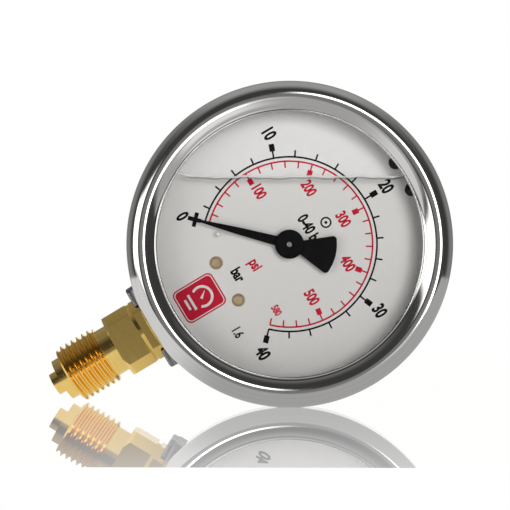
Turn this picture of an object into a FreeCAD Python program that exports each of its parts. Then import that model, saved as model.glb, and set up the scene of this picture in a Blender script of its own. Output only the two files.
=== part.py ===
"""Liquid-filled pressure gauge, 63 mm size, with a G 1/4 B bottom connection.

Frame: +Z up through 12 o'clock, the dial faces -Y, and the origin lies on the
thread's axis at the thread's lower end. All sizes are in millimetres.
"""
import FreeCAD, Part
import math
import os

Vector = FreeCAD.Vector

# Case and bezel. A y is a depth, and a smaller y is nearer the reader.
dial_height = 55.8        # dial centre above the origin
case_radius = 31.0
case_wall = 0.8
case_back_y = 13.0
case_corner = 3.0
flange_radius = 33.3
flange_front_y = -10.6
bezel_radius = 34.3
bezel_sheet = 0.8
bezel_opening = 28.0      # radius of the round opening that shows the dial
bezel_rear_y = -8.9
collar_width = 19.5
collar_depth = 17.0
collar_reach = 35.6       # from the dial centre to the collar's outer face
collar_step = 34.4        # there the collar steps back from the wrench flats
collar_step_depth = 13.2
collar_top = 24.0         # below the dial centre, well inside the case wall
collar_corner = 1.4
collar_edge = 0.5
bezel_front_y = -19.2
bezel_crest_radius = 31.1
bezel_slope_radius = 6.5  # the flatter round between the crest and the lip
bezel_slope_start = 33.0  # degrees of slope at its ends
bezel_slope_end = 21.0
bezel_round_middle = 35.0  # degrees of slope half way round the outer edge

# Window, gasket and dial
gasket_inner_radius = 29.7
gasket_lip_y = -16.5      # front end of the gasket's lip round the window
gasket_shoulder_y = -15.6
window_radius = 31.1
window_front_y = -17.0
window_back_y = -14.6
dial_radius = 29.0
dial_front_y = -11.5
dial_thickness = 0.5
dial_hole_radius = 2.5
dial_centring_radius = 0.9    # notch at 9 o'clock
dial_screw_head = 1.4
dial_screw_radius = 0.7
dial_screw_end_y = -8.9
dial_pillar_radius = 1.6
dial_spigot_radius = 1.0
dial_screw_x = 4.6
dial_screw_drop = 15.4    # below the dial centre
stop_pin_reach = 15.2
stop_pin_angle = 231.0    # degrees, anticlockwise from 3 o'clock
stop_pin_radius = 0.5
stop_pin_length = 2.2     # in front of the dial

# Filling plug at 12 o'clock
plug_y = -2.5
plug_neck = 4.2
plug_cap = 5.6
plug_lobe_x = 3.3
plug_lobe_width = 2.5
plug_lobe_reach = 26.7
plug_lobe_top = 29.0
plug_lobe_proud = 0.9     # in front of the dial
plug_top = 32.4
plug_collar = 5.0
plug_collar_base = 28.2
plug_dimple = 1.6

# Connection, as distances below the dial centre
block_top = 12.5
block_bottom = 27.5
block_half_width = 7.0
block_front_y = -1.2
block_back_y = 12.1
block_screw_x = 4.2       # the two screws from the back, and the two of the movement
block_screw_drop = 24.5
block_screw_clearance = 1.3
case_screw_radius = 1.25
case_screw_head = 2.4
case_screw_end_y = 8.0
mounting_screw_radius = 1.2
mounting_screw_head = 1.9
mounting_screw_length = 6.0
shank_radius = 6.2
flange_top = 34.3
flange_bottom = 36.7
stem_flange_radius = 8.2
wrench_top = 37.5
wrench_bottom = 43.5
wrench_flats = 14.0
wrench_turned_radius = 8.4
stem_hole_play = 0.2      # the case's stem hole is this much wider than the wrench flats
neck_radius = 5.5
thread_top = 46.5
groove_radius = 6.9
inlet_radius = 1.2
inlet_top = 19.0          # below the dial centre
throttle_radius = 0.3
throttle_length = 4.0

# G 1/4 B thread, pilot and spigot of the gauge standard
thread_radius = 6.5785
thread_pitch = 1.337
thread_depth = 0.856
thread_chamfer = 0.45
pilot_radius = 4.75
pilot_length = 2.0
spigot_radius = 2.5
spigot_length = 2.0

# Bourdon tube
tube_arc_radius = 20.0
tube_y = 4.5
tube_axial = 9.0
tube_radial = 3.6
tube_wall = 0.5
tube_root_angle = 262.0
tube_tip_angle = -15.0
drilling_radius = 0.6     # from the inlet into the tube
tip_cap_wall = 0.6
tip_tongue_front_y = -3.4
tip_tongue_back_y = -2.3

# Movement
back_plate_y = -2.2       # front face of the back plate
front_plate_y = -8.4      # front face of the front plate
plate_thickness = 1.0
pillar_places = [(-6.5, 2.5), (6.5, 2.5), (-7.6, -20.0), (7.6, -20.0)]
pillar_radius = 1.3
pillar_spigot_radius = 0.8
gear_module = 0.25
pinion_teeth = 12
sector_wheel_teeth = 96   # the toothed segment is cut from a wheel of this many teeth
sector_cut_teeth = 12
backlash = 0.05
sector_front_y = -5.2
sector_thickness = 0.8
sector_arbor_radius = 0.9
sector_pivot_radius = 0.45
arbor_front_y = -6.9      # shoulders of both arbors
arbor_back_y = -2.7
pivot_end_y = -1.4
pinion_front_y = -5.8
pinion_back_y = -3.8
pinion_arbor_radius = 0.75
pinion_front_radius = 0.6
pinion_rear_radius = 0.4
pinion_arbor_end_y = -14.1
tooth_tip = 0.22          # beyond the pitch circle
tooth_root = 0.32         # within the pitch circle
pressure_angle = 20.0
pivot_play = 0.03
tail_length = 4.5
tail_angle = -68.0
tip_pivot = (17.0, -10.5)
link_play = 0.17          # extra radius of the link's hole at the tube end
pin_radius = 0.5
link_front_y = -4.2
link_back_y = -3.6
stud_place = (-5.3, -2.0)
stud_radius = 0.4
hairspring_turns = 5
hairspring_outer = 4.8

# Pointer
pointer_angle = 224.5     # at zero, anticlockwise from 3 o'clock
pointer_back_y = -12.9
pointer_thickness = 0.4
pointer_tip_reach = 21.3
pointer_boss_radius = 3.1
pointer_hub_radius = 2.6
pointer_sleeve_radius = 1.5

# Liquid: its level lies square to this direction, above the dial centre
level_direction = 149.1   # degrees, anticlockwise from 3 o'clock
level_height = 14.2
liquid_front_y = -14.5
liquid_back_y = -14.25
liquid_radius = 29.4

beyond = 40.0             # longer than any piece it cuts

pinion_radius = gear_module * pinion_teeth / 2
sector_radius = gear_module * sector_wheel_teeth / 2
sector_drop = pinion_radius + sector_radius
tail_pivot = (tail_length * math.cos(math.radians(tail_angle)),
              tail_length * math.sin(math.radians(tail_angle)) - sector_drop)


# ---- helpers ---------------------------------------------------------------

def at_dial(x, z, y=0.0):
    """A point given from the dial centre."""
    return Vector(x, y, z + dial_height)


def polar(radius, degrees):
    """x and z of a point round the dial centre."""
    angle = math.radians(degrees)
    return radius * math.cos(angle), radius * math.sin(angle)


def rod(x, z, y_front, y_back, radius):
    """A round bar along Y, placed from the dial centre."""
    return Part.makeCylinder(radius, y_back - y_front, at_dial(x, z, y_front), Vector(0, 1, 0))


def upright(radius, bottom, top, y=0.0):
    """A round bar along Z, its ends given below the dial centre."""
    return Part.makeCylinder(radius, bottom - top, at_dial(0, -bottom, y), Vector(0, 0, 1))


def box(x0, x1, y0, y1, z0, z1):
    """A box whose z values are counted from the dial centre."""
    return Part.makeBox(x1 - x0, y1 - y0, z1 - z0, at_dial(x0, z0, y0))


def polygon_wire(points):
    return Part.makePolygon(list(points) + [points[0]])


def turned(section, degrees=360.0, start=0.0):
    """Turn a closed wire in the (radius, y) plane round the dial's axis."""
    solid = Part.Face(section).revolve(at_dial(0, 0), Vector(0, -1, 0), degrees)
    solid.rotate(at_dial(0, 0), Vector(0, -1, 0), start)
    return solid


def ring_section(points):
    """A closed wire through (radius, y) points. A point's third value marks the middle of an arc."""
    path = [(at_dial(p[0], 0, p[1]), len(p) == 3) for p in points]
    path.append(path[0])
    edges = []
    index = 0
    while index < len(path) - 1:
        start = path[index][0]
        middle, is_arc = path[index + 1]
        if is_arc:
            edges.append(Part.Arc(start, middle, path[index + 2][0]).toShape())
            index += 2
        else:
            edges.append(Part.LineSegment(start, middle).toShape())
            index += 1
    return Part.Wire(edges)


def flat(points, y_front, y_back, radius=0.0):
    """A plate from (x, z) points round the dial centre, grown outwards by a radius."""
    wire = polygon_wire([at_dial(x, z, y_front) for x, z in points])
    face = Part.Face(wire)
    if radius:
        face = Part.Face(face.makeOffset2D(radius).OuterWire)
    return face.extrude(Vector(0, y_back - y_front, 0))


def bar(end_a, end_b, radius_a, radius_b, y_front, y_back):
    """A flat bar with round ends of two radii."""
    dx = end_b[0] - end_a[0]
    dz = end_b[1] - end_a[1]
    length = math.hypot(dx, dz)
    heading = math.atan2(dz, dx)
    lean = math.acos((radius_a - radius_b) / length)
    corners = []
    for centre, radius, turn in ((end_a, radius_a, lean), (end_b, radius_b, lean),
                                 (end_b, radius_b, -lean), (end_a, radius_a, -lean)):
        corners.append((centre[0] + radius * math.cos(heading + turn),
                        centre[1] + radius * math.sin(heading + turn)))
    body = flat(corners, y_front, y_back)
    body = body.fuse(rod(end_a[0], end_a[1], y_front, y_back, radius_a))
    body = body.fuse(rod(end_b[0], end_b[1], y_front, y_back, radius_b))
    return body.removeSplitter()


def fused(solids):
    shape = solids[0].fuse(solids[1:])
    return shape.removeSplitter()


def dome_screw(x, z, seat_y, head_radius, head_height, screw_radius, screw_length):
    """A dome head screw whose head stands in front of seat_y."""
    head = rod(x, z, seat_y - head_height, seat_y, head_radius)
    rim = head.Edges[0] if head.Edges[0].BoundBox.YMin < seat_y - head_height / 2 else head.Edges[2]
    head = head.makeFillet(head_height * 0.7, [rim])
    slot = box(x - head_radius, x + head_radius, seat_y - head_height - 0.1,
               seat_y - head_height * 0.6, z - 0.2, z + 0.2)
    return head.cut(slot).fuse(rod(x, z, seat_y, seat_y + screw_length, screw_radius))


def turned_square(flats, turned_radius, bottom, top):
    """A square bar along Z with turned corners, its ends given below the dial centre."""
    half = flats / 2
    return box(-half, half, -half, half, -bottom, -top).common(upright(turned_radius, bottom, top))


def stem_hole(bottom, top):
    """The hole that lets the wrench flats through, in the case wall and the collar."""
    return turned_square(wrench_flats + 2 * stem_hole_play, wrench_turned_radius + stem_hole_play,
                         bottom, top)


# ---- case ------------------------------------------------------------------

def make_case():
    outer = case_radius
    inner = case_radius - case_wall
    back = case_back_y
    floor = back - case_wall
    bend = case_corner * (1 - math.sqrt(0.5))
    inner_corner = case_corner - case_wall
    inner_bend = inner_corner * (1 - math.sqrt(0.5))
    section = ring_section([
        (0, back),
        (outer - case_corner, back),
        (outer - bend, back - bend, "arc"),
        (outer, back - case_corner),
        (outer, flange_front_y + case_wall),
        (flange_radius, flange_front_y + case_wall),
        (flange_radius, flange_front_y),
        (inner, flange_front_y),
        (inner, floor - inner_corner),
        (inner - inner_bend, floor - inner_bend, "arc"),
        (inner - inner_corner, floor),
        (0, floor)])
    case = turned(section)
    case = case.cut(stem_hole(case_radius + 2, case_radius - 4))
    plug_hole = Part.makeCylinder(plug_neck, 6, at_dial(0, case_radius - 4, plug_y))
    case = case.cut(plug_hole)
    for side in (-1, 1):
        case = case.cut(rod(side * block_screw_x, -block_screw_drop, floor - 1, back + 1,
                            block_screw_clearance))
    return case


def collar_block(depth, reach):
    """A block below the case with rounded corners and lower edges."""
    half = collar_width / 2
    body = box(-half, half, -depth / 2, depth / 2, -reach, -collar_top)
    uprights = [e for e in body.Edges if e.BoundBox.ZLength > 5]
    body = body.makeFillet(collar_corner, uprights)
    lower = [e for e in body.Edges if e.BoundBox.ZMax < dial_height - reach + 0.01]
    return body.makeFillet(collar_edge, lower)


def make_case_collar():
    whole = collar_block(collar_depth, collar_step)
    body = whole.fuse(collar_block(collar_step_depth, collar_reach)).removeSplitter()
    body = body.cut(rod(0, 0, -beyond, beyond, case_radius))
    return body.cut(stem_hole(collar_reach + 1, collar_top - 1))


def on_round(radius, slope, middle=None):
    """A point of a round that is level at its front, by its slope in degrees."""
    if middle is None:
        middle = (bezel_crest_radius, bezel_front_y + bezel_radius - bezel_crest_radius)
    angle = math.radians(slope)
    return (middle[0] + radius * math.sin(angle), middle[1] - radius * math.cos(angle))


def make_bezel_ring():
    outer = bezel_radius - bezel_crest_radius
    inner = outer - bezel_sheet
    slope_middle = on_round(outer - bezel_slope_radius, -bezel_slope_end)
    half_way = (bezel_slope_start + bezel_slope_end) / 2
    section = ring_section([
        (bezel_opening, -17.6),
        on_round(bezel_slope_radius, -bezel_slope_start, slope_middle),
        (*on_round(bezel_slope_radius, -half_way, slope_middle), "arc"),
        on_round(outer, -bezel_slope_end),
        (*on_round(outer, bezel_round_middle), "arc"),
        on_round(outer, 90.0),
        (bezel_radius, bezel_rear_y - 0.8),
        (bezel_radius - 0.24, bezel_rear_y - 0.24, "arc"),
        (bezel_radius - 0.8, bezel_rear_y),
        (bezel_radius - 2.9, bezel_rear_y),
        (bezel_radius - 2.9, bezel_rear_y - bezel_sheet),
        (bezel_radius - bezel_sheet, bezel_rear_y - bezel_sheet),
        on_round(inner, 90.0),
        (*on_round(inner, bezel_round_middle), "arc"),
        on_round(inner, -bezel_slope_end),
        (bezel_opening + 0.35, -17.05),
        (bezel_opening - 0.02, -17.3, "arc")])
    return turned(section)


def make_window():
    window = rod(0, 0, window_front_y, window_back_y, window_radius)
    return window.makeChamfer(0.25, window.Edges)


def make_window_gasket():
    inner = gasket_inner_radius
    lip = window_radius + 0.05
    outer = bezel_radius - bezel_sheet - 0.3
    section = ring_section([
        (inner, flange_front_y),
        (outer, flange_front_y),
        (outer, gasket_shoulder_y),
        (outer - 0.5, gasket_lip_y),
        (lip, gasket_lip_y),
        (lip, window_back_y),
        (inner, window_back_y)])
    return turned(section)


def plug_lobe(side, growth=0.0):
    """One rounded lobe of the plug that reaches forward through the dial's notch."""
    half = plug_lobe_width / 2 + growth
    x = side * plug_lobe_x
    inner_z = plug_lobe_reach + half - growth
    front = dial_front_y - plug_lobe_proud
    lobe = box(x - half, x + half, front, plug_y, inner_z, plug_lobe_top)
    return lobe.fuse(rod(x, inner_z, front, plug_y, half)).removeSplitter()


def make_fill_plug():
    outside = rod(0, 0, -beyond, beyond, case_radius)
    inside = rod(0, 0, -beyond, beyond, case_radius - case_wall)
    cap = upright(plug_cap, -plug_top + 6.4, -plug_top, plug_y)
    top = [e for e in cap.Edges if e.BoundBox.ZMin > dial_height + plug_top - 0.1]
    cap = cap.makeFillet(0.9, top).cut(outside)
    neck = upright(plug_neck, -plug_lobe_top, -plug_top + 0.4, plug_y)
    collar = upright(plug_collar, -plug_collar_base, -plug_collar_base - 2.6, plug_y).common(inside)
    plug = fused([cap, neck, collar, plug_lobe(-1), plug_lobe(1)])
    return plug.cut(upright(plug_dimple, -plug_top + 0.8, -plug_top - 1, plug_y))


def make_case_screws():
    screws = []
    for x in (-block_screw_x, block_screw_x):
        head = rod(x, -block_screw_drop, case_back_y, case_back_y + 1.2, case_screw_head)
        rim = [e for e in head.Edges if e.BoundBox.YMin > case_back_y + 1]
        head = head.makeFillet(0.7, rim)
        recess = rod(x, -block_screw_drop, case_back_y + 0.4, case_back_y + 2, 0.9)
        shank = rod(x, -block_screw_drop, case_screw_end_y, case_back_y, case_screw_radius)
        screws.append(head.cut(recess).fuse(shank))
    return Part.makeCompound(screws)


# ---- connection ------------------------------------------------------------

def oval_section(growth=0.0):
    """The tube's oval in the (radius, y) plane."""
    half_radial = tube_radial / 2 + growth
    half_axial = tube_axial / 2 + growth
    straight = half_axial - half_radial
    return ring_section([
        (tube_arc_radius - half_radial, tube_y + straight),
        (tube_arc_radius, tube_y + half_axial, "arc"),
        (tube_arc_radius + half_radial, tube_y + straight),
        (tube_arc_radius + half_radial, tube_y - straight),
        (tube_arc_radius, tube_y - half_axial, "arc"),
        (tube_arc_radius - half_radial, tube_y - straight)])


def tube_span(growth, first, last):
    """The oval turned from one dial angle to another."""
    return turned(oval_section(growth), last - first, first)


def groove_turn():
    """One turn of the thread's V groove, which starts at the origin's height."""
    root = thread_radius - thread_depth
    outside = thread_radius + 0.1
    half_root = thread_pitch / 12
    half_outside = half_root + (outside - root) * math.tan(math.radians(27.5))
    profile = polygon_wire([
        Vector(root, 0, -half_root),
        Vector(outside, 0, -half_outside),
        Vector(outside, 0, half_outside),
        Vector(root, 0, half_root)])
    return Part.makeHelix(thread_pitch, thread_pitch, thread_radius).makePipeShell([profile], True, True)


def make_thread(length):
    """The threaded length, from the origin upwards, chamfered at both ends."""
    thread = Part.makeCylinder(thread_radius, length)
    thread = thread.makeChamfer(thread_chamfer, [e for e in thread.Edges if e.BoundBox.ZLength < 0.01])
    turn = groove_turn()
    for n in range(-2, math.ceil(length / thread_pitch) + 1):
        groove = turn.copy()
        groove.translate(Vector(0, 0, n * thread_pitch))
        thread = thread.cut(groove)
    return thread


def make_connection():
    below = dial_height
    block = box(-block_half_width, block_half_width, block_front_y, block_back_y,
                -block_bottom, -block_top)
    block = block.makeChamfer(0.5, [e for e in block.Edges if e.BoundBox.ZLength > 5])
    shank = upright(shank_radius, flange_top, block_bottom)
    flange = turned_square(wrench_flats, stem_flange_radius, flange_bottom, flange_top)
    groove = upright(groove_radius, wrench_top, flange_bottom)
    wrench = turned_square(wrench_flats, wrench_turned_radius, wrench_bottom, wrench_top)
    turned_ends = upright(wrench_turned_radius, wrench_bottom, wrench_top)
    lower = [e for e in turned_ends.Edges if e.BoundBox.ZMax < dial_height - wrench_bottom + 0.01]
    wrench = wrench.common(turned_ends.makeChamfer(0.8, lower))
    neck = upright(neck_radius, thread_top, wrench_bottom)
    thread = make_thread(below - thread_top)
    pilot = Part.makeCylinder(pilot_radius, pilot_length, Vector(0, 0, -pilot_length))
    spigot_bottom = -pilot_length - spigot_length
    spigot = Part.makeCylinder(spigot_radius, spigot_length, Vector(0, 0, spigot_bottom))
    stem = fused([block, shank, flange, groove, wrench, neck])
    stem = stem.fuse(thread).fuse(pilot).fuse(spigot)
    inlet = Part.makeCylinder(inlet_radius, below - inlet_top - spigot_bottom, Vector(0, 0, spigot_bottom))
    stem = stem.cut(inlet)
    stem = stem.cut(tube_span(0.0, tube_root_angle - 30, tube_root_angle))
    cross_drilling = Part.makeCylinder(drilling_radius, 3.2, at_dial(-3.2, -19.9, 0.9), Vector(1, 0, 0))
    stem = stem.cut(cross_drilling)
    for side in (-1, 1):
        x = side * block_screw_x
        front_end = back_plate_y + mounting_screw_length + 0.4
        stem = stem.cut(rod(x, -block_screw_drop, block_front_y - 1, front_end, mounting_screw_radius))
        stem = stem.cut(rod(x, -block_screw_drop, case_screw_end_y, block_back_y + 1, case_screw_radius))
    return stem


def make_stem_seal():
    """A moulded ring that fills the square hole round the round shank."""
    top = case_radius + 0.3
    bottom = flange_top - 0.1
    return stem_hole(bottom, top).cut(upright(shank_radius, bottom + 1, top - 1))


def make_throttle_screw():
    bottom = -pilot_length - spigot_length + 0.4
    screw = Part.makeCylinder(inlet_radius, throttle_length, Vector(0, 0, bottom))
    return screw.cut(Part.makeCylinder(throttle_radius, throttle_length + 2, Vector(0, 0, bottom - 1)))


# ---- tube, end piece and link ----------------------------------------------

def make_bourdon_tube():
    outer = tube_span(0.0, tube_tip_angle, tube_root_angle)
    inner = tube_span(-tube_wall, tube_tip_angle, tube_root_angle)
    return outer.cut(inner)


def make_tube_end_piece():
    half_radial = tube_radial / 2 + tip_cap_wall
    half_axial = tube_axial / 2 + tip_cap_wall
    section = ring_section([
        (tube_arc_radius - half_radial, tube_y + half_axial),
        (tube_arc_radius + half_radial, tube_y + half_axial),
        (tube_arc_radius + half_radial, tube_y - half_axial),
        (tube_arc_radius - half_radial, tube_y - half_axial)])
    cap = turned(section, 7.0, tube_tip_angle - 5.0)
    pocket = tube_span(0.03, tube_tip_angle - 0.05, tube_tip_angle + 4.0)
    cap = cap.cut(pocket)
    root_x, root_z = polar(tube_arc_radius, tube_tip_angle - 3.0)
    neck = rod(root_x, root_z - 0.2, tip_tongue_front_y, 1.0, 1.7)
    neck = neck.cut(pocket)
    tongue = bar((root_x, root_z - 0.2), tip_pivot, 1.7, 1.5, tip_tongue_front_y, tip_tongue_back_y)
    piece = fused([cap, neck, tongue])
    return piece.cut(rod(tip_pivot[0], tip_pivot[1], tip_tongue_front_y - 1, 0, pin_radius))


def make_link():
    front = link_front_y - 1
    back = link_back_y + 1
    link = bar(tail_pivot, tip_pivot, 1.2, 1.3, link_front_y, link_back_y)
    link = link.cut(rod(tail_pivot[0], tail_pivot[1], front, back, pin_radius + pivot_play))
    return link.cut(rod(tip_pivot[0], tip_pivot[1], front, back, pin_radius + link_play))


def make_link_tip_screw():
    x, z = tip_pivot
    seat = link_front_y - 0.2
    head = rod(x, z, seat - 0.55, seat, 1.2)
    slot = box(x - 2, x + 2, seat - 1, seat - 0.35, z - 0.15, z + 0.15)
    return head.cut(slot).fuse(rod(x, z, seat, tip_tongue_back_y, pin_radius))


def make_link_tail_pin():
    x, z = tail_pivot
    back_seat = link_back_y + 0.2
    front_head = rod(x, z, sector_front_y - 0.4, sector_front_y, 0.95)
    back_head = rod(x, z, back_seat, back_seat + 0.4, 0.95)
    return fused([front_head, rod(x, z, sector_front_y, back_seat, pin_radius), back_head])


# ---- movement --------------------------------------------------------------

def drilled(plate, holes, front, back):
    """The plate with its holes, each given as (x, z, radius)."""
    for x, z, radius in holes:
        plate = plate.cut(rod(x, z, front - 1, back + 1, radius))
    return plate


def make_back_plate():
    front = back_plate_y
    back = back_plate_y + plate_thickness
    plate = flat([(-5.4, 1.4), (5.4, 1.4), (6.2, -24.3), (-6.2, -24.3)], front, back, 2.4)
    holes = [(x, z, pillar_spigot_radius) for x, z in pillar_places]
    holes += [(x, -block_screw_drop, block_screw_clearance) for x in (-block_screw_x, block_screw_x)]
    holes.append((0, 0, pinion_rear_radius + pivot_play))
    holes.append((0, -sector_drop, sector_pivot_radius + pivot_play))
    return drilled(plate, holes, front, back)


def make_front_plate():
    front = front_plate_y
    back = front_plate_y + plate_thickness
    plate = flat([(-5.4, 1.4), (5.4, 1.4), (6.2, -19.0), (-6.2, -19.0)], front, back, 2.4)
    holes = [(x, z, pillar_spigot_radius + 0.05) for x, z in pillar_places]
    holes += [(x, -dial_screw_drop, dial_spigot_radius) for x in (-dial_screw_x, dial_screw_x)]
    holes.append((stud_place[0], stud_place[1], stud_radius))
    holes.append((0, 0, pinion_front_radius + pivot_play))
    holes.append((0, -sector_drop, sector_pivot_radius + pivot_play))
    return drilled(plate, holes, front, back)


def make_movement_pillars():
    pillars = []
    for x, z in pillar_places:
        pillar = rod(x, z, front_plate_y + plate_thickness, back_plate_y, pillar_radius)
        pillar = pillar.cut(rod(x, z, front_plate_y, -4.4, pillar_spigot_radius))
        spigot = rod(x, z, back_plate_y, back_plate_y + plate_thickness, pillar_spigot_radius)
        pillars.append(pillar.fuse(spigot))
    return Part.makeCompound(pillars)


def make_pillar_screws():
    return Part.makeCompound([dome_screw(x, z, front_plate_y, 1.4, 0.8, pillar_spigot_radius, 3.6)
                              for x, z in pillar_places])


def make_mounting_screws():
    return Part.makeCompound([dome_screw(x, -block_screw_drop, back_plate_y, mounting_screw_head, 1.1,
                                         mounting_screw_radius, mounting_screw_length)
                              for x in (-block_screw_x, block_screw_x)])


def involute(radius, base):
    """The involute function at a radius."""
    opening = math.acos(base / radius)
    return math.tan(opening) - opening


def flank(teeth, tip, root):
    """(radius, half tooth angle) down one involute flank, from the tip to the root."""
    pitch_radius = gear_module * teeth / 2
    base = pitch_radius * math.cos(math.radians(pressure_angle))
    half_at_pitch = (math.pi * gear_module / 2 - backlash) / 2 / pitch_radius
    points = []
    for step in range(4):
        r = max(tip + (base - tip) * step / 3, root)
        points.append((r, half_at_pitch + involute(pitch_radius, base) - involute(max(r, base), base)))
    if root < base:
        points.append((root, points[-1][1]))
    return points


def tooth_outline(teeth, tip, root, centre_angles):
    """Points round a row of teeth, as (radius, angle) in radians and rising angle."""
    outline = []
    side = flank(teeth, tip, root)
    for centre in centre_angles:
        outline += [(r, centre - half) for r, half in reversed(side)]
        outline += [(r, centre + half) for r, half in side]
    return outline


def make_pinion_gear():
    tip = pinion_radius + tooth_tip
    root = pinion_radius - tooth_root
    centres = [2 * math.pi * n / pinion_teeth for n in range(pinion_teeth)]
    outline = tooth_outline(pinion_teeth, tip, root, centres)
    points = [(r * math.cos(a), r * math.sin(a)) for r, a in outline]
    gear = flat(points, pinion_front_y, pinion_back_y)
    return gear.cut(rod(0, 0, pinion_front_y - 1, pinion_back_y + 1, pinion_arbor_radius))


def make_sector_gear():
    tip = sector_radius + tooth_tip
    root = sector_radius - tooth_root
    pitch_angle = 2 * math.pi / sector_wheel_teeth
    first = math.radians(90) + pitch_angle * 1.5
    centres = [first - pitch_angle * (sector_cut_teeth - 1 - n) for n in range(sector_cut_teeth)]
    outline = tooth_outline(sector_wheel_teeth, tip, root, centres)
    points = [(r * math.cos(a), r * math.sin(a) - sector_drop) for r, a in outline]
    start = centres[0] - pitch_angle * 0.6
    end = centres[-1] + pitch_angle * 0.6
    edge = [(root * math.cos(a), root * math.sin(a) - sector_drop) for a in (start, end)]
    hub = (0, -sector_drop)
    back = sector_front_y + sector_thickness
    blade = flat([edge[0]] + points + [edge[1], (-1.6, hub[1] + 0.6), (1.9, hub[1] - 0.6)],
                 sector_front_y, back)
    window = [(r * math.cos(a), r * math.sin(a) - sector_drop)
              for r, a in ((4.6, start + 0.22), (9.6, start + 0.12), (9.9, (start + end) / 2),
                           (9.6, end - 0.12), (4.6, end - 0.22))]
    blade = blade.cut(flat(window, sector_front_y - 1, back + 1))
    tail = bar(hub, tail_pivot, 2.0, 1.3, sector_front_y, back)
    boss = rod(hub[0], hub[1], -6.4, -3.2, 1.7)
    sector = fused([blade, tail, boss])
    sector = sector.cut(rod(hub[0], hub[1], -8, 0, sector_arbor_radius))
    return sector.cut(rod(tail_pivot[0], tail_pivot[1], -8, 0, pin_radius))


def make_sector_arbor():
    shaft = rod(0, -sector_drop, arbor_front_y, arbor_back_y, sector_arbor_radius)
    pivots = rod(0, -sector_drop, front_plate_y + 0.2, pivot_end_y, sector_pivot_radius)
    return shaft.fuse(pivots).removeSplitter()


def make_pinion_arbor():
    shaft = rod(0, 0, arbor_front_y, arbor_back_y, pinion_arbor_radius)
    rear_pivot = rod(0, 0, arbor_back_y, pivot_end_y, pinion_rear_radius)
    front = rod(0, 0, pinion_arbor_end_y, arbor_front_y, pinion_front_radius)
    rim = [e for e in front.Edges if e.BoundBox.YMax < pinion_arbor_end_y + 0.1]
    return fused([shaft, rear_pivot, front.makeFillet(0.2, rim)])


def make_hairspring_collet():
    collet = rod(0, 0, -6.85, -6.15, 1.25)
    return collet.cut(rod(0, 0, arbor_front_y - 1, -6.0, pinion_arbor_radius))


def make_hairspring_stud():
    return rod(stud_place[0], stud_place[1], front_plate_y, -6.1, stud_radius)


def make_hairspring():
    """A flat spiral ribbon, from the collet out to the stud."""
    start_radius = 1.3
    end_angle = math.atan2(stud_place[1], stud_place[0]) + 2 * math.pi * hairspring_turns
    growth = (hairspring_outer - start_radius) / end_angle
    half = 0.06
    steps = 16 * hairspring_turns

    def side(offset):
        curve = []
        for n in range(steps + 1):
            angle = end_angle * n / steps
            radius = start_radius + half + growth * angle + offset
            curve.append(at_dial(radius * math.cos(angle), radius * math.sin(angle), -6.8))
        spline = Part.BSplineCurve()
        spline.interpolate(curve)
        return spline.toShape()

    inner = side(-half)
    outer = side(half)
    first = Part.makeLine(inner.valueAt(inner.FirstParameter), outer.valueAt(outer.FirstParameter))
    last = Part.makeLine(inner.valueAt(inner.LastParameter), outer.valueAt(outer.LastParameter))
    face = Part.Face(Part.Wire([first, outer, last, inner]))
    return face.extrude(Vector(0, 0.6, 0))


# ---- dial side -------------------------------------------------------------

def make_dial():
    back = dial_front_y + dial_thickness
    stop_x, stop_z = polar(stop_pin_reach, stop_pin_angle)
    holes = [(0, 0, dial_hole_radius), (stop_x, stop_z, stop_pin_radius),
             (-dial_radius, 0, dial_centring_radius)]
    holes += [(x, -dial_screw_drop, 1.5 * dial_screw_radius) for x in (-dial_screw_x, dial_screw_x)]
    dial = drilled(rod(0, 0, dial_front_y, back, dial_radius), holes, dial_front_y, back)
    for side in (-1, 1):
        notch = plug_lobe(side, 0.15)
        notch.translate(Vector(0, 0, 0.15))
        dial = dial.cut(notch)
    return dial


def make_dial_pillars():
    pillars = []
    seat = dial_front_y + dial_thickness
    for x in (-dial_screw_x, dial_screw_x):
        pillar = rod(x, -dial_screw_drop, seat, front_plate_y, dial_pillar_radius)
        spigot = rod(x, -dial_screw_drop, front_plate_y, front_plate_y + plate_thickness,
                     dial_spigot_radius)
        hole = rod(x, -dial_screw_drop, seat - 1, dial_screw_end_y + 0.1, dial_screw_radius)
        pillars.append(pillar.fuse(spigot).cut(hole))
    return Part.makeCompound(pillars)


def make_dial_screws():
    screws = []
    for x in (-dial_screw_x, dial_screw_x):
        head = rod(x, -dial_screw_drop, dial_front_y - 0.85, dial_front_y, dial_screw_head)
        rim = [e for e in head.Edges if e.BoundBox.YMax < dial_front_y - 0.8]
        head = head.makeFillet(0.8, rim)
        shank = rod(x, -dial_screw_drop, dial_front_y, dial_screw_end_y, dial_screw_radius)
        screws.append(head.fuse(shank))
    return Part.makeCompound(screws)


def make_stop_pin():
    x, z = polar(stop_pin_reach, stop_pin_angle)
    front = dial_front_y - stop_pin_length
    pin = rod(x, z, front, dial_front_y + dial_thickness + 0.3, stop_pin_radius)
    rim = [e for e in pin.Edges if e.BoundBox.YMax < front + 0.1]
    return pin.makeFillet(0.2, rim)


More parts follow.
